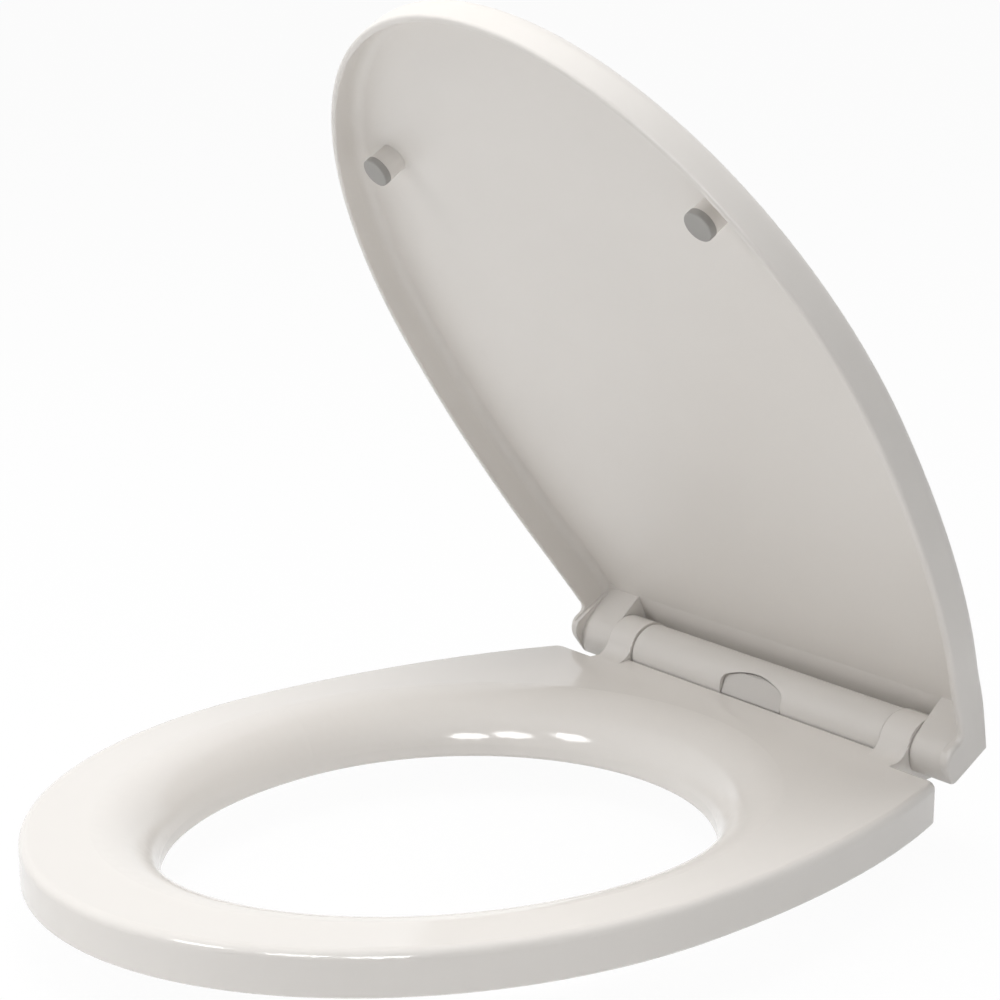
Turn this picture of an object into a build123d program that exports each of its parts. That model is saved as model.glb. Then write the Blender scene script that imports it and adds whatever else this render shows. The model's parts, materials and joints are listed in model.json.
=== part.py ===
from build123d import *

import os
from math import acos, asin, atan2, cos, degrees, radians, sin, sqrt

os.makedirs("parts", exist_ok=True)

# Frame: X along the hinge, front towards -Y, Z up, origin between the two fixings on the bowl's deck.
# All sizes are in millimetres and degrees.

# Plan outline of the seat
SEAT_HALF_WIDTH = 180.0
FRONT_REACH = 220.6
REAR_REACH = 316.8
WIDEST_Y = -214.8

# Heights
BUFFER_HEIGHT = 11.0
RING_THICKNESS = 21.7
AXIS_ABOVE_RING = 2.6
RING_TOP = BUFFER_HEIGHT + RING_THICKNESS
AXIS_Z = RING_TOP + AXIS_ABOVE_RING

# Seat ring
RING_REAR_Y = -26.0
RING_CORNER_R = 7.0
RING_TOP_R = 4.0
RING_BOTTOM_R = 1.5
HOLE_HALF_WIDTH = 124.4
HOLE_FRONT = 153.3
HOLE_REAR = 131.5
HOLE_Y = -214.0
DISH_HALF_WIDTH = 152.5
DISH_FRONT = 187.2
DISH_REAR = 166.0
DISH_DROP = 24.7
DISH_START_TILT = 3.0
DISH_END_TILT = 85.0
DISH_STEPS = 6
LIP_DEPTH = 10.4
LIP_WALL = 8.0
LIP_EDGE_R = 2.0
CHANNEL_DEPTH = 7.0
CHANNEL_OUTER_WALL = 7.0
CHANNEL_INNER_WALL = 14.0
CHANNEL_REAR_Y = -58.0
BUFFER_PAD_R = 13.0

# Hinge line: barrel, then a ring knuckle and a lid ear at each end
BARREL_R = 15.5
BARREL_HALF = 94.6
BARREL_END_GAP = 0.9
SIDE_GAP = 0.4
KNUCKLE_WIDTH = 19.3
KNUCKLE_R = 16.4
KNUCKLE_BLEND = 10.0
BARREL_GAP = 0.8
SHAFT_R = 4.5
SHAFT_FLAT = 3.2
RUN_GAP = 0.05
KNUCKLE_IN = BARREL_HALF + BARREL_END_GAP
KNUCKLE_OUT = KNUCKLE_IN + KNUCKLE_WIDTH
EAR_IN = KNUCKLE_OUT + SIDE_GAP
KNUCKLE_WEB = 1.2
RING_KEY_DEPTH = 10.0

# Lid, drawn closed and then swung open about the hinge line
LID_OPEN = 58.2
LID_GAP = 3.2
LID_DEPTH = 23.4
LID_FRONT_DEPTH = 18.3
LID_WALL = 3.7
LID_PANEL = 3.5
LID_TOP_R = 8.0
LID_INNER_R = 6.0
LID_RIM_OUTER_R = 1.8
LID_RIM_INNER_R = 1.0
LID_FLANK_Y = -60.0
LID_REAR_HALF = 140.6
LID_REAR_Y = 4.0
LID_RIM = RING_TOP + LID_GAP
LID_TOP = LID_RIM + LID_DEPTH
LID_SLOPE_Y = -21.5
LID_SLOPE_DROP = 4.2
LID_CORNER_Y = -40.0
LID_CORNER_DROP = 10.0
LID_SLOPE_R = 20.0
LID_REAR_R = 4.5
EAR_R = 14.8
EAR_FRONT_Y = -18.0
EAR_WIDTH = 23.8
EAR_LEDGE = 1.6
EAR_DEPTH = 16.0
CHEEK_FRONT_Y = -18.5
CHEEK_DROP = 15.0
CHEEK_R = 9.0
CHEEK_NOTCH_R = 4.0
LID_CLEARANCE = 1.5

# Bumpers and buffers
LID_BUMPER_X = 0.668 * SEAT_HALF_WIDTH
LID_BUMPER_Y = WIDEST_Y - 0.527 * FRONT_REACH
STALK_R = 7.7
PAD_R = 8.0
PAD_THICK = 3.7
PAD_LIFT = 4.9
PAD_EDGE_R = 0.8
PEG_R = 3.0
PEG_LENGTH = 2.0
PEG_FIT = 0.05
BUFFER_R = 9.0
BUFFER_EDGE = 1.5
BUFFER_FRONT = (0.511 * SEAT_HALF_WIDTH, WIDEST_Y - 0.667 * FRONT_REACH)
BUFFER_REAR = (0.694 * SEAT_HALF_WIDTH, WIDEST_Y + 0.432 * REAR_REACH)

# Hinge barrel
COVER_WALL = 2.6
COVER_TOP_ANGLE = 93.0
COVER_LOW_ANGLE = -38.0
COVER_FIT = 0.1
CAVITY_HALF = 46.0
DAMPER_R = 6.5
DAMPER_LENGTH = 42.0
DAMPER_KEY = 2.0
CASE_WALL = 3.0

# Release button
BUTTON_HALF = 22.5
BUTTON_LOW = -7.5
BUTTON_SIDE_TOP = 7.0
BUTTON_TOP = 11.2
BUTTON_CORNER_R = 4.0
BUTTON_GAP = 0.5
OPENING_GAP = 0.7
OPENING_SHIFT = 0.4
BUTTON_FACE = 13.4
BUTTON_FACE_TILT = 18.0
BUTTON_TRAVEL = 3.0
BUTTON_LIP = 2.5

# Latches
BOLT_SPACING = 155.0
LATCH_HALF_WIDTH = 3.0
LATCH_LOW = -13.0
LATCH_THICK = 3.2
LATCH_SLIDE_GAP = 0.2
LATCH_BLOCK_IN = 6.0
LATCH_BLOCK_OUT = 12.0
LATCH_BLOCK_TOP = -3.5
PRONG_GAP = 0.3
PRONG_OUT = 21.0
PRONG_TIP_Y = 2.0
SPRING_R = 2.4
SPRING_WIRE_R = 0.5
SPRING_TURNS = 4
SPRING_WIRE_SIDES = 8

# Posts and their fixings on the deck
POST_R = 6.0
POST_FIT = 0.1
POST_GROOVE_R = 4.3
POST_TOP = -7.6
POST_LEAD = 0.8
FOOT_GAP = 0.3
HEX_FLATS = 17.0
HEX_HEIGHT = 4.5
STEM_R = 4.0
STEM_PROUD = 2.0
COLLAR_R = 5.5
COLLAR_DROP = 3.0
COLLAR_CLEARANCE = 1.3
PLATE_R = 22.0
PLATE_THICK = 2.0
PLATE_BEVEL = 0.8
GASKET_THICK = 1.5
SLEEVE_R = 6.75
SLEEVE_LENGTH = 12.0
NUT_LENGTH = 5.0
STEM_CLEARANCE = 0.3
BOSS_R = 10.5

HINGE = Axis((0, 0, AXIS_Z), (1, 0, 0))
LID_TAPER = (LID_DEPTH - LID_FRONT_DEPTH) / (LID_SLOPE_Y - WIDEST_Y + FRONT_REACH)
LID_TOP_PLANE = Plane(
    origin=(0, 0, LID_TOP - LID_TAPER * LID_SLOPE_Y), x_dir=(1, 0, 0), z_dir=(0, -LID_TAPER, 1)
)
PAD_TOP = RING_TOP + PAD_LIFT + PAD_THICK
BUTTON_BACK_Y = -LATCH_HALF_WIDTH - BUTTON_TRAVEL - BUTTON_GAP
STEM_END = -COLLAR_DROP - SLEEVE_LENGTH - NUT_LENGTH - STEM_PROUD
EAR_OUT = EAR_IN + EAR_WIDTH
KEY_END = EAR_IN + EAR_DEPTH
PIN_START = KNUCKLE_IN + RING_KEY_DEPTH + KNUCKLE_WEB
CASE_START = BARREL_HALF - DAMPER_LENGTH
COVER_R = BARREL_R - COVER_WALL
PLATE_TOP = GASKET_THICK + PLATE_THICK
HEX_TOP = PLATE_TOP + HEX_HEIGHT
SIDES = {"left": -1, "right": 1}


def along_hinge(x):
    """Plane across the hinge line at x: its own x is the frame's Y, its own y is the height above the axis."""
    return Plane(origin=(x, 0, AXIS_Z), x_dir=(0, 1, 0), z_dir=(1, 0, 0))


def span(side, inner, outer):
    """Start of an extrusion along +X that fills inner to outer on one side of the middle."""
    return along_hinge(inner if side > 0 else -outer)


def seat_outline(inset, rear_y):
    """Face of the seat's oval plan, cut straight at rear_y."""
    half, front, rear = SEAT_HALF_WIDTH - inset, FRONT_REACH - inset, REAR_REACH - inset
    turn = degrees(asin((rear_y - WIDEST_Y) / rear))
    with BuildLine() as outline:
        EllipticalCenterArc((0, WIDEST_Y), half, front, 180, arc_size=180)
        right = EllipticalCenterArc((0, WIDEST_Y), half, rear, 0, arc_size=turn)
        left = EllipticalCenterArc((0, WIDEST_Y), half, rear, 180 - turn, arc_size=turn)
        Line(right @ 1, left @ 0)
    make_face(outline.edges())


def lid_outline(inset):
    """Face of the lid's plan: the seat's oval with its rear flanks running straighter to the hinge ends."""
    half, front, rear = SEAT_HALF_WIDTH - inset, FRONT_REACH - inset, REAR_REACH - inset
    turn = degrees(asin((LID_FLANK_Y - WIDEST_Y) / rear))
    with BuildLine() as outline:
        EllipticalCenterArc((0, WIDEST_Y), half, front, 180, arc_size=180)
        right = EllipticalCenterArc((0, WIDEST_Y), half, rear, 0, arc_size=turn)
        left = EllipticalCenterArc((0, WIDEST_Y), half, rear, 180 - turn, arc_size=turn)
        right_end = TangentArc(right @ 1, (LID_REAR_HALF - inset, LID_REAR_Y), tangent=right % 1)
        left_end = TangentArc(left @ 0, (inset - LID_REAR_HALF, LID_REAR_Y), tangent=(left % 0) * -1)
        Line(right_end @ 1, left_end @ 1)
    make_face(outline.edges())


def hole_outline(share, outset=0.0, mode=Mode.ADD):
    """Face of the ring's hole, share 0 at the hole's edge and 1 at the dish's outer rim."""
    half = HOLE_HALF_WIDTH + share * (DISH_HALF_WIDTH - HOLE_HALF_WIDTH) + outset
    front = HOLE_FRONT + share * (DISH_FRONT - HOLE_FRONT) + outset
    rear = HOLE_REAR + share * (DISH_REAR - HOLE_REAR) + outset
    with BuildLine() as outline:
        EllipticalCenterArc((0, HOLE_Y), half, front, 180, arc_size=180)
        EllipticalCenterArc((0, HOLE_Y), half, rear, 0, arc_size=180)
    make_face(outline.edges(), mode=mode)


def knuckle_profile():
    """Ring knuckle seen along the hinge: a round eye that blends down to the ring's top."""
    reach = KNUCKLE_R + KNUCKLE_BLEND
    rise = KNUCKLE_BLEND - AXIS_ABOVE_RING
    foot_y = -sqrt(reach**2 - rise**2)
    touch = (foot_y * KNUCKLE_R / reach, rise * KNUCKLE_R / reach)
    block_y = CHANNEL_REAR_Y + CHANNEL_OUTER_WALL
    Circle(KNUCKLE_R)
    with BuildLine() as outline:
        RadiusArc(touch, (foot_y, -AXIS_ABOVE_RING), KNUCKLE_BLEND)
        Polyline(
            (foot_y, -AXIS_ABOVE_RING),
            (block_y, -AXIS_ABOVE_RING),
            (block_y, -AXIS_ABOVE_RING - RING_THICKNESS),
            (RING_REAR_Y, -AXIS_ABOVE_RING - RING_THICKNESS),
            (0, -KNUCKLE_R),
            (0, 0),
            touch,
        )
    make_face(outline.edges())


def key_profile(gap):
    """Shaft end with two flats."""
    Circle(SHAFT_R + gap)
    Rectangle(2 * (SHAFT_R + gap), 2 * (SHAFT_FLAT + gap), mode=Mode.INTERSECT)


def lid_profile():
    """Closed lid seen along the hinge: rim, cheek hanging below it, rear edge, sloping rear and tapering top."""
    rim = LID_RIM - AXIS_Z
    top = LID_TOP - AXIS_Z
    front = WIDEST_Y - FRONT_REACH - 1
    with BuildLine() as outline:
        Polyline(
            (front, rim),
            (CHEEK_FRONT_Y, rim),
            (CHEEK_FRONT_Y, -CHEEK_DROP),
            (LID_REAR_Y, -CHEEK_DROP),
            (LID_REAR_Y, top - LID_SLOPE_DROP),
            (LID_SLOPE_Y, top),
            (front, top + LID_TAPER * (front - LID_SLOPE_Y)),
            close=True,
        )
    make_face(outline.edges())


def lid_ceiling(y):
    """Height of the closed lid's inner face at y."""
    return LID_TOP - LID_PANEL * sqrt(1 + LID_TAPER**2) + LID_TAPER * (y - LID_SLOPE_Y)


def shell_sector(inner, outer, low, high):
    """Part of a tube's section between two angles measured from the front upwards."""
    far = 4 * outer
    middle = (low + high) / 2
    rays = [(-far * cos(radians(a)), far * sin(radians(a))) for a in (low, middle, high)]
    Circle(outer)
    Circle(inner, mode=Mode.SUBTRACT)
    with BuildLine() as outline:
        Polyline((0, 0), *rays, close=True)
    make_face(outline.edges(), mode=Mode.INTERSECT)


def button_outline(gap, shift):
    """Front view of the button: straight sides, arched top."""
    left, right = shift - BUTTON_HALF - gap, shift + BUTTON_HALF + gap
    with BuildLine() as outline:
        arch = ThreePointArc(
            (left, BUTTON_SIDE_TOP), (shift, BUTTON_TOP + gap), (right, BUTTON_SIDE_TOP)
        )
        Polyline(arch @ 1, (right, BUTTON_LOW - gap), (left, BUTTON_LOW - gap), arch @ 0)
    make_face(outline.edges())


def swung_open(piece):
    """Turn a piece drawn with the lid closed to where the lid stands open."""
    return piece.rotate(HINGE, -LID_OPEN)


# Seat ring
with BuildPart() as seat_ring:
    with BuildSketch(Plane.XY.offset(BUFFER_HEIGHT)):
        seat_outline(0, RING_REAR_Y)
    extrude(amount=RING_THICKNESS)
    fillet(seat_ring.edges().filter_by(Axis.Z).group_by(Axis.Y)[-1], RING_CORNER_R)
    fillet(seat_ring.faces().sort_by(Axis.Z)[-1].edges(), RING_TOP_R)
    fillet(seat_ring.faces().sort_by(Axis.Z)[0].edges(), RING_BOTTOM_R)
    # Lip that hangs below the ring around the hole
    with BuildSketch(Plane.XY.offset(BUFFER_HEIGHT - LIP_DEPTH)):
        hole_outline(0, LIP_WALL)
    extrude(amount=LIP_DEPTH + CHANNEL_DEPTH)
    # Dish: sections that turn from the flat top to a nearly upright wall at the hole
    start, end = radians(DISH_START_TILT), radians(DISH_END_TILT)
    for step in range(DISH_STEPS + 1):
        tilt = start + (end - start) * step / DISH_STEPS
        fall = DISH_DROP * (cos(start) - cos(tilt)) / (cos(start) - cos(end))
        share = (sin(end) - sin(tilt)) / (sin(end) - sin(start))
        with BuildSketch(Plane.XY.offset(RING_TOP - fall)):
            hole_outline(share)
    loft(mode=Mode.SUBTRACT)
    with BuildSketch(Plane.XY.offset(RING_TOP)):
        hole_outline(0)
    extrude(amount=-RING_THICKNESS - LIP_DEPTH, mode=Mode.SUBTRACT)
    fillet(seat_ring.faces().sort_by(Axis.Z)[0].edges(), LIP_EDGE_R)
    # Channel under the ring, with solid pads for the buffers
    with BuildSketch(Plane.XY.offset(BUFFER_HEIGHT)):
        seat_outline(CHANNEL_OUTER_WALL, CHANNEL_REAR_Y)
        hole_outline(0, CHANNEL_INNER_WALL, mode=Mode.SUBTRACT)
        with Locations(*[(s * x, y) for s in (-1, 1) for x, y in (BUFFER_FRONT, BUFFER_REAR)]):
            Circle(BUFFER_PAD_R, mode=Mode.SUBTRACT)
    extrude(amount=CHANNEL_DEPTH, mode=Mode.SUBTRACT)
    # Bridge in front of the barrel, and the two knuckles
    bridge_rear = -BARREL_R - BARREL_GAP
    with BuildSketch(Plane.XY.offset(BUFFER_HEIGHT)):
        with Locations((0, (RING_REAR_Y + bridge_rear) / 2 - RING_CORNER_R / 2)):
            Rectangle(2 * KNUCKLE_IN, bridge_rear - RING_REAR_Y + RING_CORNER_R)
    extrude(amount=RING_THICKNESS)
    for side in SIDES.values():
        with BuildSketch(span(side, KNUCKLE_IN, KNUCKLE_OUT)):
            knuckle_profile()
        extrude(amount=KNUCKLE_WIDTH)
    # Bores: plain through the right knuckle, keyed inside and plain outside on the left
    with BuildSketch(along_hinge(KNUCKLE_IN)):
        Circle(SHAFT_R + RUN_GAP)
    extrude(amount=KNUCKLE_WIDTH, mode=Mode.SUBTRACT)
    with BuildSketch(along_hinge(-KNUCKLE_IN - RING_KEY_DEPTH)):
        key_profile(RUN_GAP)
    extrude(amount=RING_KEY_DEPTH, mode=Mode.SUBTRACT)
    with BuildSketch(along_hinge(-KNUCKLE_OUT)):
        Circle(SHAFT_R + RUN_GAP)
    extrude(amount=KNUCKLE_WIDTH - RING_KEY_DEPTH - KNUCKLE_WEB, mode=Mode.SUBTRACT)
    # Peg holes for the buffers
    with Locations(
        *[(s * x, y, BUFFER_HEIGHT) for s in (-1, 1) for x, y in (BUFFER_FRONT, BUFFER_REAR)]
    ):
        Cylinder(
            PEG_R + PEG_FIT,
            PEG_LENGTH + PEG_FIT,
            align=(Align.CENTER, Align.CENTER, Align.MIN),
            mode=Mode.SUBTRACT,
        )
seat_ring.part.label = "seat_ring"
export_step(seat_ring.part, "parts/seat_ring.step")

# Lid
with BuildPart() as lid_cavity:
    with BuildSketch(LID_TOP_PLANE.offset(-LID_PANEL)):
        lid_outline(LID_WALL)
        with Locations((0, EAR_FRONT_Y)):
            Rectangle(
                2 * SEAT_HALF_WIDTH,
                2 * SEAT_HALF_WIDTH,
                align=(Align.CENTER, Align.MIN),
                mode=Mode.SUBTRACT,
            )
    extrude(amount=-LID_TOP)
    lid_cavity_top = lid_cavity.faces().sort_by(Axis.Z)[-1]
    fillet(lid_cavity_top.edges().filter_by(Axis.X, reverse=True), LID_INNER_R)

with BuildPart() as lid:
    with BuildSketch(LID_TOP_PLANE):
        lid_outline(0)
    extrude(amount=-LID_TOP)
    fillet(lid.faces().sort_by(Axis.Z)[-1].edges().filter_by(Axis.X, reverse=True), LID_TOP_R)
    with BuildSketch(along_hinge(-SEAT_HALF_WIDTH)) as lid_side:
        lid_profile()
        fillet(lid_side.vertices().sort_by_distance((LID_SLOPE_Y, LID_TOP - AXIS_Z))[0], LID_SLOPE_R)
        fillet(lid_side.vertices().sort_by_distance((CHEEK_FRONT_Y, -CHEEK_DROP))[0], CHEEK_R)
        fillet(lid_side.vertices().sort_by_distance((CHEEK_FRONT_Y, LID_RIM - AXIS_Z))[0], CHEEK_NOTCH_R)
        fillet(lid_side.vertices().sort_by_distance((LID_REAR_Y, 0))[:2], LID_REAR_R)
    extrude(amount=2 * SEAT_HALF_WIDTH, mode=Mode.INTERSECT)
    add(lid_cavity.part, mode=Mode.SUBTRACT)
    # Rear corners fall away over the ears
    corner_y = LID_REAR_Y - LID_CORNER_Y
    corner_x = LID_REAR_HALF - EAR_IN
    corner_z = LID_CORNER_DROP - LID_SLOPE_DROP
    for side in SIDES.values():
        with BuildSketch(
            Plane(
                origin=(side * LID_REAR_HALF, LID_REAR_Y, LID_TOP - LID_CORNER_DROP),
                z_dir=(side * corner_y * corner_z, corner_x * LID_CORNER_DROP, corner_y * corner_x),
            )
        ):
            Rectangle(2 * LID_REAR_HALF, 2 * LID_REAR_HALF)
        extrude(amount=LID_DEPTH, mode=Mode.SUBTRACT)
    # Rear of the panel over the barrel and the knuckles
    panel_low = lid_ceiling(EAR_FRONT_Y) - AXIS_Z
    panel_fall = LID_SLOPE_DROP / (LID_REAR_Y - LID_SLOPE_Y)
    panel_end = panel_low - (2 * LID_REAR_Y - EAR_FRONT_Y) * panel_fall
    with BuildSketch(along_hinge(-EAR_IN)):
        with BuildLine():
            Polyline(
                (2 * EAR_FRONT_Y, -2 * CHEEK_DROP),
                (2 * EAR_FRONT_Y, lid_ceiling(2 * EAR_FRONT_Y) - AXIS_Z),
                (EAR_FRONT_Y, panel_low),
                (2 * LID_REAR_Y, panel_end),
                (2 * LID_REAR_Y, -2 * CHEEK_DROP),
                close=True,
            )
        make_face()
        Circle(KNUCKLE_R + LID_CLEARANCE)
    extrude(amount=2 * EAR_IN, mode=Mode.SUBTRACT)
    # Pocket around each ear, open towards the front and below
    ear_top = panel_low - EAR_LEDGE
    ear_far = sqrt(EAR_FRONT_Y**2 + ear_top**2)
    ear_angle = atan2(ear_top, EAR_FRONT_Y) + acos(EAR_R / ear_far)
    for side in SIDES.values():
        with BuildSketch(span(side, EAR_IN, EAR_OUT)):
            with BuildLine():
                Polyline(
                    (2 * EAR_FRONT_Y, -2 * CHEEK_DROP),
                    (2 * EAR_FRONT_Y, ear_top),
                    (EAR_FRONT_Y, ear_top),
                    (EAR_R * cos(ear_angle), EAR_R * sin(ear_angle)),
                    (0, 0),
                    (2 * LID_REAR_Y, 0),
                    (2 * LID_REAR_Y, -2 * CHEEK_DROP),
                    close=True,
                )
            make_face()
            Circle(EAR_R, mode=Mode.SUBTRACT)
        extrude(amount=EAR_WIDTH, mode=Mode.SUBTRACT)
    # Rim rounded on both sides
    lid_rim = lid.faces().filter_by(Axis.Z).sort_by(Axis.Z)[-1]
    fillet(lid_rim.edges().sort_by(Axis.Y)[1], LID_RIM_INNER_R)
    lid_rim = lid.faces().filter_by(Axis.Z).sort_by(Axis.Z)[-1]
    fillet(lid_rim.edges().sort_by(Axis.Y)[0], LID_RIM_OUTER_R)
    # Keyed bore in the right ear, plain bore in the left ear
    with BuildSketch(along_hinge(EAR_IN)):
        key_profile(RUN_GAP)
    extrude(amount=EAR_DEPTH, mode=Mode.SUBTRACT)
    with BuildSketch(along_hinge(-KEY_END)):
        Circle(SHAFT_R + RUN_GAP)
    extrude(amount=EAR_DEPTH, mode=Mode.SUBTRACT)
    # Stalks for the bumper pads, with peg holes in their ends
    for side in SIDES.values():
        with Locations((side * LID_BUMPER_X, LID_BUMPER_Y, PAD_TOP)):
            Cylinder(
                STALK_R,
                lid_ceiling(LID_BUMPER_Y) + LID_PANEL / 2 - PAD_TOP,
                align=(Align.CENTER, Align.CENTER, Align.MIN),
            )
            Cylinder(
                PEG_R + PEG_FIT,
                PEG_LENGTH + PEG_FIT,
                align=(Align.CENTER, Align.CENTER, Align.MIN),
                mode=Mode.SUBTRACT,
            )
lid_open = swung_open(lid.part)
lid_open.label = "lid"
export_step(lid_open, "parts/lid.step")

# Bumper pads, pegged into the ends of the lid's stalks
for name, side in SIDES.items():
    with BuildPart() as lid_bumper:
        with Locations((side * LID_BUMPER_X, LID_BUMPER_Y, PAD_TOP)):
            Cylinder(PAD_R, PAD_THICK, align=(Align.CENTER, Align.CENTER, Align.MAX))
        fillet(lid_bumper.edges().sort_by(Axis.Z)[0], PAD_EDGE_R)
        with Locations((side * LID_BUMPER_X, LID_BUMPER_Y, PAD_TOP)):
            Cylinder(PEG_R, PEG_LENGTH, align=(Align.CENTER, Align.CENTER, Align.MIN))
    bumper_open = swung_open(lid_bumper.part)
    bumper_open.label = f"lid_bumper_{name}"
    export_step(bumper_open, f"parts/lid_bumper_{name}.step")

# Ring buffers, standing on the deck under the ring
for place, (x, y) in {"front": BUFFER_FRONT, "rear": BUFFER_REAR}.items():
    for name, side in SIDES.items():
        with BuildPart() as buffer:
            with Locations((side * x, y, 0)):
                Cylinder(BUFFER_R, BUFFER_HEIGHT, align=(Align.CENTER, Align.CENTER, Align.MIN))
            chamfer(buffer.edges().sort_by(Axis.Z)[0], BUFFER_EDGE)
            with Locations((side * x, y, BUFFER_HEIGHT)):
                Cylinder(PEG_R, PEG_LENGTH, align=(Align.CENTER, Align.CENTER, Align.MIN))
        buffer.part.label = f"ring_buffer_{place}_{name}"
        export_step(buffer.part, f"parts/ring_buffer_{place}_{name}.step")

# Barrel body: core with a seat for the cover, and a foot over each post
cover_turn = degrees(COVER_FIT / COVER_R)
foot_low = HEX_TOP + FOOT_GAP
socket_top = AXIS_Z + POST_TOP + FOOT_GAP
slot_mid = LATCH_LOW + LATCH_THICK / 2
with BuildPart() as barrel_body:
    with BuildSketch(along_hinge(-BARREL_HALF)):
        Circle(BARREL_R)
    extrude(amount=2 * BARREL_HALF)
    with BuildSketch(Plane.XY.offset(foot_low)):
        with Locations((-BOLT_SPACING / 2, 0), (BOLT_SPACING / 2, 0)):
            Circle(BOSS_R)
        Rectangle(2 * BARREL_HALF, 4 * BOSS_R, mode=Mode.INTERSECT)
    extrude(amount=AXIS_Z - foot_low)
    with BuildSketch(along_hinge(-BARREL_HALF)):
        shell_sector(
            COVER_R - COVER_FIT,
            2 * BARREL_R,
            COVER_LOW_ANGLE - cover_turn,
            COVER_TOP_ANGLE + cover_turn,
        )
    extrude(amount=2 * BARREL_HALF, mode=Mode.SUBTRACT)
    with BuildSketch(along_hinge(-CAVITY_HALF)):
        Circle(COVER_R - COVER_FIT)
    extrude(amount=2 * CAVITY_HALF, mode=Mode.SUBTRACT)
    for side in SIDES.values():
        with BuildSketch(span(side, CASE_START, BARREL_HALF)):
            Circle(DAMPER_R + COVER_FIT)
            with Locations((DAMPER_R, 0)):
                Rectangle(2 * (DAMPER_KEY + COVER_FIT), DAMPER_KEY + 2 * COVER_FIT)
        extrude(amount=DAMPER_LENGTH, mode=Mode.SUBTRACT)
    with BuildSketch(Plane.XY.offset(foot_low)):
        with Locations((-BOLT_SPACING / 2, 0), (BOLT_SPACING / 2, 0)):
            Circle(POST_R + POST_FIT)
    extrude(amount=socket_top - foot_low, mode=Mode.SUBTRACT)
    with Locations((0, 0, AXIS_Z + slot_mid)):
        Box(
            BOLT_SPACING,
            2 * (LATCH_HALF_WIDTH + LATCH_SLIDE_GAP),
            LATCH_THICK + 2 * LATCH_SLIDE_GAP,
            mode=Mode.SUBTRACT,
        )
barrel_body.part.label = "barrel_body"
export_step(barrel_body.part, "parts/barrel_body.step")

# Barrel cover with the button's opening, set a little to one side of the button
front_view = Plane(origin=(0, 0, AXIS_Z), x_dir=(1, 0, 0), z_dir=(0, -1, 0))
with BuildPart() as barrel_cover:
    with BuildSketch(along_hinge(-BARREL_HALF)):
        shell_sector(COVER_R, BARREL_R, COVER_LOW_ANGLE, COVER_TOP_ANGLE)
    extrude(amount=2 * BARREL_HALF)
    with BuildSketch(front_view) as opening:
        button_outline(OPENING_GAP, OPENING_SHIFT)
        fillet(opening.vertices(), BUTTON_CORNER_R + OPENING_GAP)
    extrude(amount=2 * BARREL_R, mode=Mode.SUBTRACT)
barrel_cover.part.label = "barrel_cover"
export_step(barrel_cover.part, "parts/barrel_cover.step")

# Release button: flat face let into the barrel, side lips and two wedge prongs behind
prong_low = LATCH_LOW + LATCH_THICK + BUTTON_GAP
prong_top = LATCH_BLOCK_TOP
prong_root = BUTTON_BACK_Y - BUTTON_LIP / 2
prong_shift = PRONG_GAP * sqrt(2)
wedge_mid = LATCH_BLOCK_OUT + LATCH_HALF_WIDTH
with BuildPart() as release_button:
    with BuildSketch(front_view.offset(-BUTTON_BACK_Y)) as button_face:
        button_outline(0, 0)
        fillet(button_face.vertices(), BUTTON_CORNER_R)
    extrude(amount=BARREL_R)
    with BuildSketch(along_hinge(-BARREL_HALF)):
        Circle(BARREL_R - BUTTON_GAP)
        with Locations(Location((0, 0, 0), (0, 0, -BUTTON_FACE_TILT))):
            with Locations((BARREL_R - BUTTON_FACE, 0)):
                Rectangle(2 * BARREL_R, 3 * BARREL_R, mode=Mode.INTERSECT)
    extrude(amount=2 * BARREL_HALF, mode=Mode.INTERSECT)
    with Locations((0, BUTTON_BACK_Y, AXIS_Z)):
        Box(
            2 * (BUTTON_HALF + BUTTON_LIP),
            BUTTON_LIP,
            2 * BUTTON_SIDE_TOP,
            align=(Align.CENTER, Align.MAX, Align.CENTER),
        )
    for side in SIDES.values():
        with BuildSketch(Plane.XY.offset(AXIS_Z + prong_low)):
            with BuildLine():
                Polyline(
                    (side * (wedge_mid + prong_shift + prong_root), prong_root),
                    (side * (wedge_mid + prong_shift + PRONG_TIP_Y), PRONG_TIP_Y),
                    (side * PRONG_OUT, PRONG_TIP_Y),
                    (side * PRONG_OUT, prong_root),
                    close=True,
                )
            make_face()
        extrude(amount=prong_top - prong_low)
release_button.part.label = "release_button"
export_step(release_button.part, "parts/release_button.step")

# Latches: a flat bar that hooks the post's groove, with a wedge block at its inner end
latch_tip = BOLT_SPACING / 2 - POST_GROOVE_R - PRONG_GAP
for name, side in SIDES.items():
    with BuildPart() as latch:
        with Locations((side * (LATCH_BLOCK_IN + latch_tip) / 2, 0, AXIS_Z + slot_mid)):
            Box(latch_tip - LATCH_BLOCK_IN, 2 * LATCH_HALF_WIDTH, LATCH_THICK)
        with BuildSketch(Plane.XY.offset(AXIS_Z + LATCH_LOW + LATCH_THICK)):
            with BuildLine():
                Polyline(
                    (side * LATCH_BLOCK_IN, -LATCH_HALF_WIDTH),
                    (side * LATCH_BLOCK_OUT, -LATCH_HALF_WIDTH),
                    (side * (LATCH_BLOCK_OUT + 2 * LATCH_HALF_WIDTH), LATCH_HALF_WIDTH),
                    (side * LATCH_BLOCK_IN, LATCH_HALF_WIDTH),
                    close=True,
                )
            make_face()
        extrude(amount=LATCH_BLOCK_TOP - LATCH_LOW - LATCH_THICK)
    latch.part.label = f"latch_{name}"
    export_step(latch.part, f"parts/latch_{name}.step")

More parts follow.
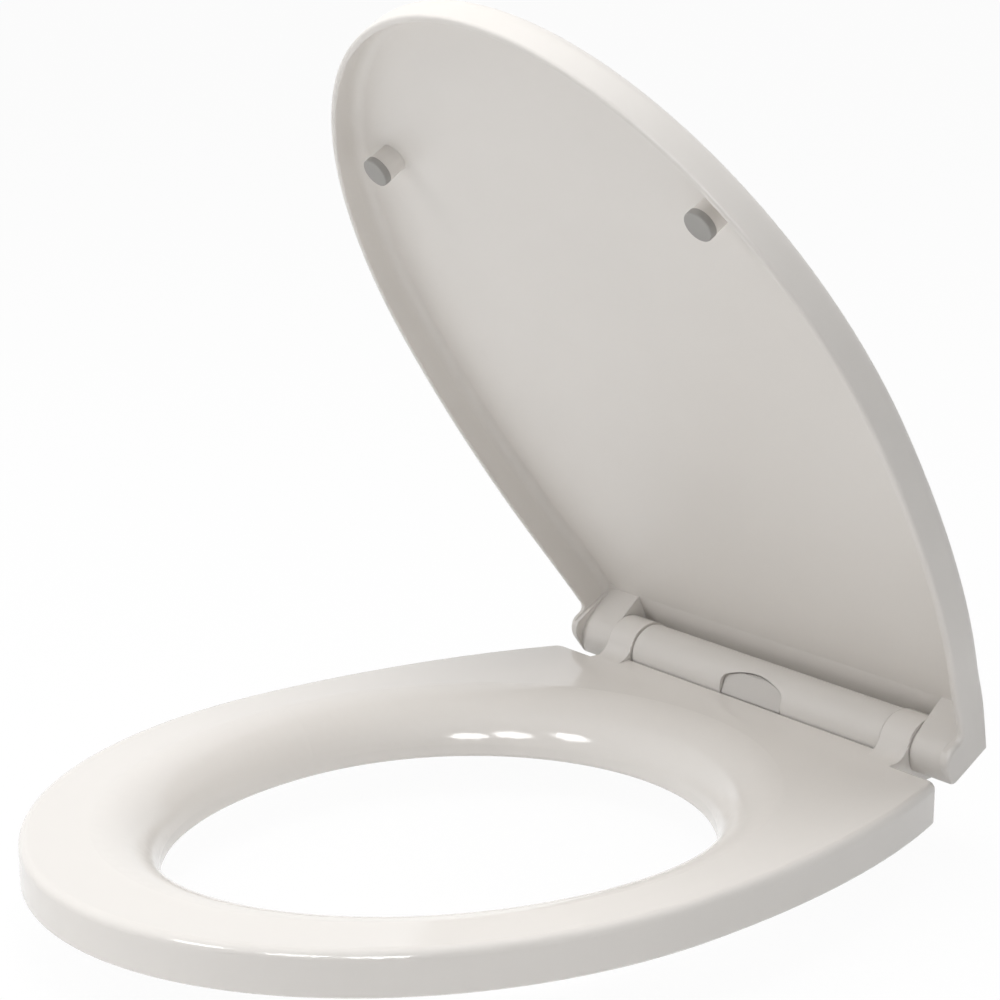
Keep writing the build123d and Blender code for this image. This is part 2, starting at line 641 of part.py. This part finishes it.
# Coil spring that pushes the latches apart
spring_length = 2 * (LATCH_BLOCK_IN - SPRING_WIRE_R)
spring_z = AXIS_Z + (LATCH_LOW + LATCH_THICK + LATCH_BLOCK_TOP) / 2
with BuildPart() as latch_spring:
    with BuildLine() as coil:
        Helix(
            spring_length / SPRING_TURNS,
            spring_length,
            SPRING_R,
            center=(-spring_length / 2, 0, spring_z),
            direction=(1, 0, 0),
        )
    with BuildSketch(Plane(origin=coil.line @ 0, z_dir=coil.line % 0)):
        RegularPolygon(SPRING_WIRE_R, SPRING_WIRE_SIDES)
    sweep(path=coil.line, is_frenet=True)
latch_spring.part.label = "latch_spring"
export_step(latch_spring.part, "parts/latch_spring.step")

# Damper cases, one in each end of the barrel
for name, side in {"ring": -1, "lid": 1}.items():
    with BuildPart() as damper_case:
        with BuildSketch(span(side, CASE_START, BARREL_HALF)):
            Circle(DAMPER_R)
            with Locations((DAMPER_R, 0)):
                Rectangle(2 * DAMPER_KEY, DAMPER_KEY)
        extrude(amount=DAMPER_LENGTH)
        with BuildSketch(span(side, CASE_START + CASE_WALL, BARREL_HALF)):
            Circle(SHAFT_R + RUN_GAP)
        extrude(amount=DAMPER_LENGTH - CASE_WALL, mode=Mode.SUBTRACT)
    damper_case.part.label = f"{name}_damper_case"
    export_step(damper_case.part, f"parts/{name}_damper_case.step")

# Damper shafts: round in the case, two flats where they drive the ring and the lid
shaft_start = CASE_START + CASE_WALL + SIDE_GAP
with BuildPart() as ring_damper_shaft:
    with BuildSketch(along_hinge(-KNUCKLE_IN)):
        Circle(SHAFT_R)
    extrude(amount=KNUCKLE_IN - shaft_start)
    with BuildSketch(along_hinge(SIDE_GAP - KNUCKLE_IN - RING_KEY_DEPTH)):
        key_profile(0)
    extrude(amount=RING_KEY_DEPTH - SIDE_GAP)
ring_damper_shaft.part.label = "ring_damper_shaft"
export_step(ring_damper_shaft.part, "parts/ring_damper_shaft.step")

with BuildPart() as lid_damper_shaft:
    with BuildSketch(along_hinge(shaft_start)):
        Circle(SHAFT_R)
    extrude(amount=EAR_IN - shaft_start)
    with BuildSketch(along_hinge(EAR_IN)):
        key_profile(0)
    extrude(amount=EAR_DEPTH - SIDE_GAP)
lid_shaft_open = swung_open(lid_damper_shaft.part)
lid_shaft_open.label = "lid_damper_shaft"
export_step(lid_shaft_open, "parts/lid_damper_shaft.step")

# Plain pin that carries the lid's left ear
with BuildPart() as lid_pin:
    with BuildSketch(along_hinge(SIDE_GAP - KEY_END)):
        Circle(SHAFT_R)
    extrude(amount=KEY_END - PIN_START - 2 * SIDE_GAP)
lid_pin.part.label = "lid_pin"
export_step(lid_pin.part, "parts/lid_pin.step")

# Posts and what holds them to the deck
groove_low = AXIS_Z + LATCH_LOW - LATCH_SLIDE_GAP
groove_high = AXIS_Z + LATCH_LOW + LATCH_THICK + LATCH_SLIDE_GAP
for name, side in SIDES.items():
    post_x = side * BOLT_SPACING / 2
    with BuildPart() as post:
        with BuildSketch(Plane.XY.offset(STEM_END)):
            with Locations((post_x, 0)):
                Circle(STEM_R)
        extrude(amount=-COLLAR_DROP - STEM_END)
        with BuildSketch(Plane.XY.offset(-COLLAR_DROP)):
            with Locations((post_x, 0)):
                Circle(COLLAR_R)
        extrude(amount=PLATE_TOP + COLLAR_DROP)
        with BuildSketch(Plane.XY.offset(PLATE_TOP)):
            with Locations((post_x, 0)):
                RegularPolygon(HEX_FLATS / 2, 6, major_radius=False)
        extrude(amount=HEX_HEIGHT)
        with BuildSketch(Plane.XY.offset(HEX_TOP)):
            with Locations((post_x, 0)):
                Circle(POST_R)
        extrude(amount=AXIS_Z + POST_TOP - HEX_TOP)
        chamfer(post.faces().sort_by(Axis.Z)[-1].edges(), POST_LEAD)
        with BuildSketch(Plane.XY.offset(groove_low)):
            with Locations((post_x, 0)):
                Circle(POST_R)
                Circle(POST_GROOVE_R, mode=Mode.SUBTRACT)
        extrude(amount=groove_high - groove_low, mode=Mode.SUBTRACT)
    post.part.label = f"post_{name}"
    export_step(post.part, f"parts/post_{name}.step")

    with BuildPart() as base_plate:
        with BuildSketch(Plane.XY.offset(GASKET_THICK)):
            with Locations((post_x, 0)):
                Circle(PLATE_R)
                Circle(COLLAR_R + COLLAR_CLEARANCE, mode=Mode.SUBTRACT)
        extrude(amount=PLATE_THICK)
        chamfer(base_plate.faces().sort_by(Axis.Z)[-1].outer_wire().edges(), PLATE_BEVEL)
    base_plate.part.label = f"base_plate_{name}"
    export_step(base_plate.part, f"parts/base_plate_{name}.step")

    with BuildPart() as gasket:
        with BuildSketch(Plane.XY):
            with Locations((post_x, 0)):
                Circle(PLATE_R)
                Circle(COLLAR_R + COLLAR_CLEARANCE, mode=Mode.SUBTRACT)
        extrude(amount=GASKET_THICK)
    gasket.part.label = f"gasket_{name}"
    export_step(gasket.part, f"parts/gasket_{name}.step")

    with BuildPart() as sleeve:
        with BuildSketch(Plane.XY.offset(-COLLAR_DROP - SLEEVE_LENGTH)):
            with Locations((post_x, 0)):
                Circle(SLEEVE_R)
                Circle(STEM_R + STEM_CLEARANCE, mode=Mode.SUBTRACT)
        extrude(amount=SLEEVE_LENGTH)
    sleeve.part.label = f"expansion_sleeve_{name}"
    export_step(sleeve.part, f"parts/expansion_sleeve_{name}.step")

    with BuildPart() as sleeve_nut:
        with BuildSketch(Plane.XY.offset(-COLLAR_DROP - SLEEVE_LENGTH - NUT_LENGTH)):
            with Locations((post_x, 0)):
                Circle(SLEEVE_R - STEM_CLEARANCE)
                Circle(STEM_R + RUN_GAP, mode=Mode.SUBTRACT)
        extrude(amount=NUT_LENGTH)
    sleeve_nut.part.label = f"sleeve_nut_{name}"
    export_step(sleeve_nut.part, f"parts/sleeve_nut_{name}.step")
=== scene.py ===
"""White toilet seat with its lid half open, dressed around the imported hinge, ring and lid."""

import json
import logging
import math
from dataclasses import dataclass, field
from enum import Enum
from typing import ClassVar

import bpy
from mathutils import Euler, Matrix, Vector


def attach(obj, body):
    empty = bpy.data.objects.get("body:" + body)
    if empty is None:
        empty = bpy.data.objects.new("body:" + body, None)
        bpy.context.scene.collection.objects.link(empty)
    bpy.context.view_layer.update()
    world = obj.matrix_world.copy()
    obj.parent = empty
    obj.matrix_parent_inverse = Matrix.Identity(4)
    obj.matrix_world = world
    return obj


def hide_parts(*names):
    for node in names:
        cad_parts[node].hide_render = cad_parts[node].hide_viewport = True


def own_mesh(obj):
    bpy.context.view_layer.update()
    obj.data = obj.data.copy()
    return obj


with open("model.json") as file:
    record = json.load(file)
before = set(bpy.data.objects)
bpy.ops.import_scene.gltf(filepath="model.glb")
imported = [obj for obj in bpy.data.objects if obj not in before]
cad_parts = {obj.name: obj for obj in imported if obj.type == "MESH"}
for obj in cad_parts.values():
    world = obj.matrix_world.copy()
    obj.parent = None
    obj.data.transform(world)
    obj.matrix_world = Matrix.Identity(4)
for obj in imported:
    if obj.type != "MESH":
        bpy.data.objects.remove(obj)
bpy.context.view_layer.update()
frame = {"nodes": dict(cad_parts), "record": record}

log = logging.getLogger("toilet_seat")

Colour = tuple[float, float, float]
Point = tuple[float, float, float]

JOINTS = {joint["name"]: joint for joint in frame["record"]["behaviour"]["joints"]}
HINGE_HEIGHT = JOINTS["lid_hinge"]["pos_m"][2]
WHITE = (1.0, 1.0, 1.0, 1.0)


class Sheen(Enum):
    """How polished a moulded surface is, as a base roughness."""

    POLISHED = 0.11
    SATIN = 0.34
    MATT = 0.58


class Lay(Enum):
    """The way the fine marks on a metal surface run, as the stretch of their pattern on each axis."""

    AROUND_UPRIGHT = (12.0, 12.0, 2600.0)
    AROUND_HINGE = (2600.0, 12.0, 12.0)
    ALONG_WIRE = (900.0, 900.0, 900.0)


class Reach(Enum):
    """What a lamp does: it shapes the forms with soft light, or only glints in the polish."""

    FORM = "form"
    GLINT = "glint"


@dataclass
class NodeBench:
    """A material under construction, with the few nodes that every finish here uses."""

    noise_span: ClassVar[tuple[float, float]] = (0.3, 0.7)
    edge_samples: ClassVar[int] = 6
    name: str
    material: bpy.types.Material = field(init=False)
    shader: bpy.types.Node = field(init=False)
    tree: bpy.types.NodeTree = field(init=False)

    def __post_init__(self) -> None:
        """Start the node material."""
        self.material = bpy.data.materials.new(self.name)
        self.material.use_nodes = True
        self.tree = self.material.node_tree
        self.shader = self.tree.nodes["Principled BSDF"]

    def noise(self, scale: float, detail: float, stretch: Point = (1.0, 1.0, 1.0)) -> bpy.types.NodeSocket:
        """Add a noise texture on Object coordinates.

        Args:
            scale: Features per metre.
            detail: Octaves of the noise.
            stretch: How much closer the features lie along each axis.

        Returns:
            The noise value's socket.
        """
        coords = self.tree.nodes.new("ShaderNodeTexCoord")
        mapping = self.tree.nodes.new("ShaderNodeMapping")
        mapping.inputs["Scale"].default_value = stretch
        texture = self.tree.nodes.new("ShaderNodeTexNoise")
        texture.inputs["Scale"].default_value = scale
        texture.inputs["Detail"].default_value = detail
        self.tree.links.new(coords.outputs["Object"], mapping.inputs["Vector"])
        self.tree.links.new(mapping.outputs["Vector"], texture.inputs["Vector"])
        return texture.outputs["Fac"]

    def tint(self, source: bpy.types.NodeSocket, colour: Colour, swing: float) -> None:
        """Let a texture swing the base colour about its mean.

        Args:
            source: The texture's socket.
            colour: The mean linear colour.
            swing: The share by which it falls and rises.
        """
        node = self.tree.nodes.new("ShaderNodeValToRGB")
        ends = node.color_ramp.elements
        ends[0].position, ends[1].position = self.noise_span
        ends[0].color = (*(c * (1.0 - swing) for c in colour), 1.0)
        ends[1].color = (*(min(1.0, c * (1.0 + swing)) for c in colour), 1.0)
        self.tree.links.new(source, node.inputs["Fac"])
        self.tree.links.new(node.outputs["Color"], self.shader.inputs["Base Color"])

    def polish(self, source: bpy.types.NodeSocket, low: float, high: float) -> None:
        """Let a texture vary the roughness.

        Args:
            source: The texture's socket.
            low: Roughness at the dark end.
            high: Roughness at the light end.
        """
        node = self.tree.nodes.new("ShaderNodeMapRange")
        node.inputs["From Min"].default_value = self.noise_span[0]
        node.inputs["From Max"].default_value = self.noise_span[1]
        node.inputs["To Min"].default_value = low
        node.inputs["To Max"].default_value = high
        self.tree.links.new(source, node.inputs["Value"])
        self.tree.links.new(node.outputs["Result"], self.shader.inputs["Roughness"])

    def relief(self, source: bpy.types.NodeSocket, height: float, strength: float, edge: float = 0.0) -> None:
        """Raise a fine relief on the surface.

        Args:
            source: The texture's socket.
            height: The relief's height, in metres.
            strength: The share of it that shows.
            edge: The radius at which the light rolls over a sharp edge, in metres.
        """
        bump = self.tree.nodes.new("ShaderNodeBump")
        bump.inputs["Strength"].default_value = strength
        bump.inputs["Distance"].default_value = height
        self.tree.links.new(source, bump.inputs["Height"])
        if edge:
            roll = self.tree.nodes.new("ShaderNodeBevel")
            roll.samples = self.edge_samples
            roll.inputs["Radius"].default_value = edge
            self.tree.links.new(roll.outputs["Normal"], bump.inputs["Normal"])
        self.tree.links.new(bump.outputs["Normal"], self.shader.inputs["Normal"])


@dataclass(frozen=True)
class MouldedPlastic:
    """Dyed plastic: faint flow mottling, uneven polish and a soft orange-peel skin."""

    name: str
    colour: Colour
    sheen: Sheen
    mottle: float = 0.010
    mottle_scale: float = 9.0
    polish_scale: float = 45.0
    polish_swing: float = 0.15
    peel: float = 0.00003
    peel_scale: float = 150.0
    peel_share: float = 0.2
    edge: float = 0.0009
    ior: float = 1.49

    def build(self) -> bpy.types.Material:
        """Make the material."""
        bench = NodeBench(self.name)
        rough = self.sheen.value
        bench.tint(bench.noise(self.mottle_scale, 3.0), self.colour, self.mottle)
        uneven = bench.noise(self.polish_scale, 4.0)
        bench.polish(uneven, rough * (1.0 - self.polish_swing), rough * (1.0 + self.polish_swing))
        bench.relief(bench.noise(self.peel_scale, 2.0), self.peel, self.peel_share, self.edge)
        bench.shader.inputs["IOR"].default_value = self.ior
        return bench.material


@dataclass(frozen=True)
class GrainedPlastic:
    """Unpolished technical plastic: spark-eroded grain and a dull skin."""

    name: str
    colour: Colour
    cloud: float = 0.06
    cloud_scale: float = 70.0
    dull_scale: float = 220.0
    dull: tuple[float, float] = (0.85, 1.1)
    grain: float = 0.00005
    grain_scale: float = 1400.0
    grain_share: float = 0.35
    ior: float = 1.51

    def build(self) -> bpy.types.Material:
        """Make the material."""
        bench = NodeBench(self.name)
        low, high = (Sheen.MATT.value * share for share in self.dull)
        bench.tint(bench.noise(self.cloud_scale, 4.0), self.colour, self.cloud)
        bench.polish(bench.noise(self.dull_scale, 3.0), low, high)
        bench.relief(bench.noise(self.grain_scale, 3.0), self.grain, self.grain_share)
        bench.shader.inputs["IOR"].default_value = self.ior
        return bench.material


@dataclass(frozen=True)
class Rubber:
    """Soft rubber: a chalky bloom over a fine grain."""

    name: str
    colour: Colour
    bloom: float = 0.07
    bloom_scale: float = 60.0
    rough: tuple[float, float] = (0.6, 0.75)
    grain: float = 0.00006
    grain_scale: float = 1800.0
    grain_share: float = 0.3
    ior: float = 1.52

    def build(self) -> bpy.types.Material:
        """Make the material."""
        bench = NodeBench(self.name)
        cloud = bench.noise(self.bloom_scale, 5.0)
        bench.tint(cloud, self.colour, self.bloom)
        bench.polish(cloud, *self.rough)
        bench.relief(bench.noise(self.grain_scale, 3.0), self.grain, self.grain_share)
        bench.shader.inputs["IOR"].default_value = self.ior
        return bench.material


@dataclass(frozen=True)
class WorkedSteel:
    """Stainless steel with the fine marks of the tool that made it."""

    name: str
    colour: Colour
    lay: Lay
    rough: tuple[float, float] = (0.22, 0.38)
    streak: float = 0.08
    score: float = 0.00002
    score_share: float = 0.25

    def build(self) -> bpy.types.Material:
        """Make the material."""
        bench = NodeBench(self.name)
        marks = bench.noise(1.0, 4.0, self.lay.value)
        bench.tint(marks, self.colour, self.streak)
        bench.polish(marks, *self.rough)
        bench.relief(marks, self.score, self.score_share)
        bench.shader.inputs["Metallic"].default_value = 1.0
        return bench.material


def dress(piece: bpy.types.Object, material: bpy.types.Material) -> None:
    """Give a piece one material.

    Args:
        piece: The piece's object.
        material: The material it shows.
    """
    piece.data.materials.clear()
    piece.data.materials.append(material)
    log.info("%s shows %s", piece.name, material.name)


def copy_of(node: str, name: str) -> bpy.types.Object:
    """Copy a solid's skin as a new piece.

    Args:
        node: The solid's node.
        name: The new piece's name.

    Returns:
        The copy, which is selected and active.
    """
    piece = bpy.data.objects.new(name, frame["nodes"][node].data.copy())
    bpy.context.scene.collection.objects.link(piece)
    bpy.ops.object.select_all(action="DESELECT")
    piece.select_set(True)
    bpy.context.view_layer.objects.active = piece
    bpy.ops.mesh.customdata_custom_splitnormals_clear()
    return piece


def joint_limits(name: str) -> tuple[float, float]:
    """Give the two limits of a joint, in degrees or metres."""
    joint = JOINTS[name]
    return tuple(joint.get("range_deg") or joint["range_m"])


def from_hinge(point: Vector) -> float:
    """Give a point's distance from the hinge's axis, in metres."""
    return math.hypot(point.y, point.z - HINGE_HEIGHT)


@dataclass
class Moulding:
    """A moulded piece whose handling edges are eased, as the mould leaves them."""

    node: ClassVar[str] = ""
    body: ClassVar[str] = ""
    slot: ClassVar[str] = ""
    finish: ClassVar[str] = "hinge_plastic"
    ease: float = 0.001
    steps: int = 3
    fold: float = math.radians(38.0)
    flat: float = math.radians(0.2)
    weld: float = 2e-6

    def takes(self, point: Vector) -> bool:
        """Say whether the sharp edge at a point is one that the mould rounds off."""
        raise NotImplementedError

    def build(self) -> bpy.types.Object:
        """Copy the solid's skin, merge it and round its edges.

        Returns:
            The eased piece, which stands for the solid.
        """
        piece = copy_of(self.node, f"{self.node}_eased")
        mesh = piece.data
        bpy.ops.object.mode_set(mode="EDIT")
        bpy.ops.mesh.select_mode(type="EDGE")
        bpy.ops.mesh.select_all(action="SELECT")
        bpy.ops.mesh.remove_doubles(threshold=self.weld)
        self.keep_taken(mesh)
        bpy.ops.mesh.dissolve_limited(angle_limit=self.flat)
        bpy.ops.mesh.select_all(action="DESELECT")
        bpy.ops.mesh.edges_select_sharp(sharpness=self.fold)
        self.keep_taken(mesh)
        bpy.ops.mesh.bevel(offset=self.ease, segments=self.steps, clamp_overlap=False)
        bpy.ops.object.mode_set(mode="OBJECT")
        self.smooth(piece)
        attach(piece, self.body)
        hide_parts(self.node)
        return piece

    def keep_taken(self, mesh: bpy.types.Mesh) -> None:
        """Drop from the selection the edges that the mould leaves as they are.

        Args:
            mesh: The mesh in edit mode, with edges selected.
        """
        bpy.ops.object.mode_set(mode="OBJECT")
        for edge in mesh.edges:
            if edge.select:
                ends = [mesh.vertices[i].co for i in edge.vertices]
                edge.select = self.takes((ends[0] + ends[1]) / 2.0)
        bpy.ops.object.mode_set(mode="EDIT")

    def smooth(self, piece: bpy.types.Object) -> None:
        """Shade the skin smooth, with the large faces leading at the eased edges.

        Args:
            piece: The piece's object, which is active.
        """
        bpy.ops.object.shade_smooth_by_angle(angle=self.fold)
        lead = piece.modifiers.new("face_lead", "WEIGHTED_NORMAL")
        lead.keep_sharp = True
        bpy.ops.object.modifier_apply(modifier=lead.name)


@dataclass
class BarrelBody(Moulding):
    """The barrel's rear half, which carries the posts, the latches and the dampers."""

    node: ClassVar[str] = "barrel_body"
    body: ClassVar[str] = "base"
    slot: ClassVar[str] = "hinge_plastic"
    ease: float = 0.0007
    skin: float = 0.0148
    end: float = 0.0940

    def takes(self, point: Vector) -> bool:
        """Take the rims of the barrel's ends."""
        return abs(point.x) > self.end and from_hinge(point) > self.skin


@dataclass
class BarrelCover(BarrelBody):
    """The barrel's front cover, with the button's opening."""

    node: ClassVar[str] = "barrel_cover"
    ease: float = 0.0004
    skin: float = 0.0150


@dataclass
class PressButton(Moulding):
    """The button that draws the latches off the posts."""

    node: ClassVar[str] = "release_button"
    body: ClassVar[str] = "button"
    slot: ClassVar[str] = "hinge_plastic"
    # The button's finish is the hinge plastic darkened, as painted shade for its recessed face.
    finish: ClassVar[str] = "button_plastic_painted_shade"
    ease: float = 0.0005
    face: float = 0.0112

    def takes(self, point: Vector) -> bool:
        """Take the outline of the pressed face."""
        return from_hinge(point) > self.face


@dataclass
class LatchSpring:
    """The coil between the latches, which on the real seat shortens as the button draws them in; here it is
    copied as it stands.
    """

    node: ClassVar[str] = "latch_spring"
    body: ClassVar[str] = "base"
    slot: ClassVar[str] = "spring_steel"
    joint: ClassVar[str] = "button_press"
    fold: float = math.radians(60.0)

    def build(self) -> bpy.types.Object:
        """Copy the coil and shade it smooth, with a mesh of its own.

        Returns:
            The coil, which stands for the solid.
        """
        piece = copy_of(self.node, f"{self.node}_coil")
        bpy.ops.object.shade_smooth_by_angle(angle=self.fold)
        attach(piece, self.body)
        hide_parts(self.node)
        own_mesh(piece)
        return piece


@dataclass
class CornerWeb:
    """The thin web that closes the lid's shell where its rear corner falls away before an ear."""

    side: int
    body: ClassVar[str] = "lid_swing"
    slot: ClassVar[str] = "seat_plastic"
    joint: ClassVar[str] = "lid_hinge"
    size: Point = (0.0088, 0.0064, 0.0004)
    middle: Point = (0.1365, -0.0186, 0.0198)
    facing: Point = (0.230, 0.216, 0.949)

    def build(self) -> bpy.types.Object:
        """Lay the web just under the corner's outer face, at the angle the lid stands open.

        Returns:
            The web.
        """
        mirror = Vector((self.side, 1.0, 1.0))
        swing = Euler((math.radians(joint_limits(self.joint)[0]), 0.0, 0.0)).to_matrix()
        place = swing @ (Vector(self.middle) * mirror) + Vector((0.0, 0.0, HINGE_HEIGHT))
        normal = swing @ (Vector(self.facing) * mirror)
        bpy.ops.object.select_all(action="DESELECT")
        bpy.ops.mesh.primitive_cube_add(size=1.0, location=place)
        piece = bpy.context.object
        piece.name = "lid_web_right" if self.side > 0 else "lid_web_left"
        piece.scale = self.size
        piece.rotation_euler = normal.to_track_quat("Z", "Y").to_euler()
        bpy.ops.object.transform_apply(location=True, rotation=True, scale=True)
        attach(piece, self.body)
        return piece


@dataclass
class Palette:
    """The finishes of the seat, by the record's material slots."""

    seat: MouldedPlastic = MouldedPlastic("seat_white", (0.80, 0.770, 0.735), Sheen.POLISHED)
    lid: MouldedPlastic = MouldedPlastic("lid_white", (0.755, 0.726, 0.692), Sheen.SATIN)
    hinge: MouldedPlastic = MouldedPlastic("hinge_white", (0.765, 0.738, 0.705), Sheen.SATIN)
    # Painted shade: the button is the hinge's plastic, darker here to stand in for the shade on its recessed
    # face.
    button: MouldedPlastic = MouldedPlastic("button_painted_shade", (0.65, 0.625, 0.597), Sheen.SATIN)
    buffer: Rubber = Rubber("buffer_grey", (0.35, 0.34, 0.325))
    latch: GrainedPlastic = GrainedPlastic("latch_natural", (0.72, 0.72, 0.68))
    damper: GrainedPlastic = GrainedPlastic("damper_dark", (0.024, 0.024, 0.026))
    gasket: Rubber = Rubber("gasket_dark", (0.040, 0.040, 0.041))
    spring: WorkedSteel = WorkedSteel("spring_wire", (0.56, 0.56, 0.57), Lay.ALONG_WIRE, (0.14, 0.24))
    shaft: WorkedSteel = WorkedSteel("shaft_ground", (0.60, 0.60, 0.61), Lay.AROUND_HINGE)
    post: WorkedSteel = WorkedSteel("post_turned", (0.62, 0.62, 0.63), Lay.AROUND_UPRIGHT)

    def build(self) -> dict[str, bpy.types.Material]:
        """Make every finish.

        Returns:
            Each material by its slot's name, with the lid's own and the button's darker one (painted shade)
            beside them.
        """
        finishes = {
            "seat_plastic": self.seat,
            "lid_plastic": self.lid,
            "hinge_plastic": self.hinge,
            "button_plastic_painted_shade": self.button,
            "buffer_rubber": self.buffer,
            "latch_plastic": self.latch,
            "damper_plastic": self.damper,
            "gasket_rubber": self.gasket,
            "spring_steel": self.spring,
            "shaft_steel": self.shaft,
            "post_steel": self.post,
        }
        return {slot: finish.build() for slot, finish in finishes.items()}


@dataclass(frozen=True)
class Lamp:
    """One soft box or round lamp, facing a point of the seat."""

    name: str
    place: Point
    target: Point
    size: float
    power: float
    reach: Reach

    def build(self) -> None:
        """Hang the lamp."""
        data = bpy.data.lights.new(self.name, "AREA")
        data.shape = "DISK"
        data.size = self.size
        data.energy = self.power
        lamp = bpy.data.objects.new(self.name, data)
        bpy.context.scene.collection.objects.link(lamp)
        lamp.location = self.place
        aim = Vector(self.target) - Vector(self.place)
        lamp.rotation_euler = aim.to_track_quat("-Z", "Y").to_euler()
        lamp.visible_camera = False
        lamp.visible_glossy = self.reach is Reach.GLINT
        lamp.visible_diffuse = self.reach is Reach.FORM


@dataclass
class Studio:
    """Camera at the photograph's angle, white floor and backdrop, and soft light from the front left."""

    azimuth: float = 51.28
    elevation: float = 14.38
    eye: Point = (0.94872, -0.94767, 0.48458)
    focal_share: float = 2.59009
    sensor: float = 36.0
    far: float = 50.0
    floor_z: float = -0.0222
    floor_half: float = 16.0
    floor_glow: float = 0.96
    floor_grey: float = 0.95
    floor_rough: float = 0.9
    sky: float = 0.10
    middle: Point = (0.0, -0.22, 0.10)
    boxes: tuple[tuple[str, Point, float, float], ...] = (
        ("overhead", (0.1, -0.45, 2.2), 1.8, 36.5),
        ("front_left", (-1.2, -1.6, 1.7), 1.4, 18.5),
        ("low_left", (-1.2, -2.2, 0.5), 1.4, 6.0),
        ("right", (1.6, -1.0, 1.6), 1.4, 7.0),
    )
    dish: Point = (-0.080, -0.113, 0.013)
    glint_range: float = 2.5
    glint_size: float = 0.70
    glint_power: float = 17.0
    glints: tuple[tuple[float, float], ...] = ((52.3, 14.6), (33.0, 21.0), (4.0, 28.0))

    def camera(self) -> None:
        """Set the camera."""
        data = bpy.data.cameras.new("view")
        data.sensor_width = self.sensor
        data.lens = self.sensor * self.focal_share
        data.clip_end = self.far
        camera = bpy.data.objects.new("view", data)
        bpy.context.scene.collection.objects.link(camera)
        camera.location = self.eye
        turn = (math.radians(90.0 - self.elevation), 0.0, math.radians(self.azimuth))
        camera.rotation_euler = turn
        bpy.context.scene.camera = camera

    def seen(self, tree: bpy.types.NodeTree, share: float) -> bpy.types.NodeSocket:
        """Give the share of white that a camera, mirror or glass ray sees.

        Args:
            tree: The node tree to add the nodes to.
            share: The share for such a ray, which is 0 for any other.

        Returns:
            The share's socket.
        """
        path = tree.nodes.new("ShaderNodeLightPath")
        total = path.outputs["Is Camera Ray"]
        for ray in ("Is Glossy Ray", "Is Transmission Ray"):
            add = tree.nodes.new("ShaderNodeMath")
            add.operation = "MAXIMUM"
            tree.links.new(total, add.inputs[0])
            tree.links.new(path.outputs[ray], add.inputs[1])
            total = add.outputs["Value"]
        scale = tree.nodes.new("ShaderNodeMath")
        scale.operation = "MULTIPLY"
        scale.inputs[1].default_value = share
        tree.links.new(total, scale.inputs[0])
        return scale.outputs["Value"]

    def floor(self) -> None:
        """Lay the white floor, which keeps the seat's faint shadow."""
        bpy.ops.object.select_all(action="DESELECT")
        bpy.ops.mesh.primitive_plane_add(size=2 * self.floor_half, location=(0.0, 0.0, self.floor_z))
        floor = bpy.context.object
        floor.name = "floor"
        bench = NodeBench("floor_white")
        bench.shader.inputs["Base Color"].default_value = (*[self.floor_grey] * 3, 1.0)
        bench.shader.inputs["Roughness"].default_value = self.floor_rough
        glow = bench.tree.nodes.new("ShaderNodeEmission")
        mix = bench.tree.nodes.new("ShaderNodeMixShader")
        bench.tree.links.new(self.seen(bench.tree, self.floor_glow), mix.inputs["Fac"])
        bench.tree.links.new(bench.shader.outputs["BSDF"], mix.inputs[1])
        bench.tree.links.new(glow.outputs["Emission"], mix.inputs[2])
        bench.tree.links.new(mix.outputs["Shader"], bench.tree.nodes["Material Output"].inputs["Surface"])
        floor.data.materials.append(bench.material)

    def backdrop(self) -> None:
        """Set the sky, white where it is seen and softer where it lights the seat."""
        world = bpy.data.worlds.new("studio")
        bpy.context.scene.world = world
        world.use_nodes = True
        tree = world.node_tree
        light = tree.nodes["Background"]
        light.inputs["Color"].default_value = WHITE
        light.inputs["Strength"].default_value = self.sky
        white = tree.nodes.new("ShaderNodeBackground")
        white.inputs["Color"].default_value = WHITE
        mix = tree.nodes.new("ShaderNodeMixShader")
        tree.links.new(self.seen(tree, 1.0), mix.inputs["Fac"])
        tree.links.new(light.outputs["Background"], mix.inputs[1])
        tree.links.new(white.outputs["Background"], mix.inputs[2])
        tree.links.new(mix.outputs["Shader"], tree.nodes["World Output"].inputs["Surface"])

    def glint_place(self, azimuth: float, elevation: float) -> Point:
        """Give the place of a lamp that the dish mirrors to the camera.

        Args:
            azimuth: Its bearing from the seat's front towards its right, in degrees.
            elevation: Its height above the dish, in degrees.

        Returns:
            Where it hangs, in metres.
        """
        a, e = math.radians(azimuth), math.radians(elevation)
        way = Vector((math.sin(a) * math.cos(e), -math.cos(a) * math.cos(e), math.sin(e)))
        return tuple(Vector(self.dish) + self.glint_range * way)

    def lamps(self) -> None:
        """Hang the soft boxes and the three round lamps that the polished dish mirrors."""
        for name, place, size, power in self.boxes:
            Lamp(name, place, self.middle, size, power, Reach.FORM).build()
        for number, bearing in enumerate(self.glints, start=1):
            place = self.glint_place(*bearing)
            size, power = self.glint_size, self.glint_power
            Lamp(f"round_{number}", place, self.dish, size, power, Reach.GLINT).build()

    def build(self) -> None:
        """Set the whole stage."""
        bpy.context.scene.view_settings.view_transform = "Standard"
        self.camera()
        self.floor()
        self.backdrop()
        self.lamps()


def main() -> None:
    """Build and dress the seat in order."""
    logging.basicConfig(level=logging.INFO, format="%(message)s")
    Studio().build()
    materials = Palette().build()
    for part in frame["record"]["subparts"]:
        dress(frame["nodes"][part["node"]], materials[part["material_slot"]])
    dress(frame["nodes"]["lid"], materials["lid_plastic"])
    for web in (CornerWeb(-1), CornerWeb(1)):
        dress(web.build(), materials["lid_plastic"])
    spring = LatchSpring()
    dress(spring.build(), materials[spring.slot])
    for moulding in (BarrelBody(), BarrelCover(), PressButton()):
        piece = moulding.build()
        dress(piece, materials[moulding.finish])
        log.info("%s has %d faces", piece.name, len(piece.data.polygons))


if __name__ == "__main__":
    main()
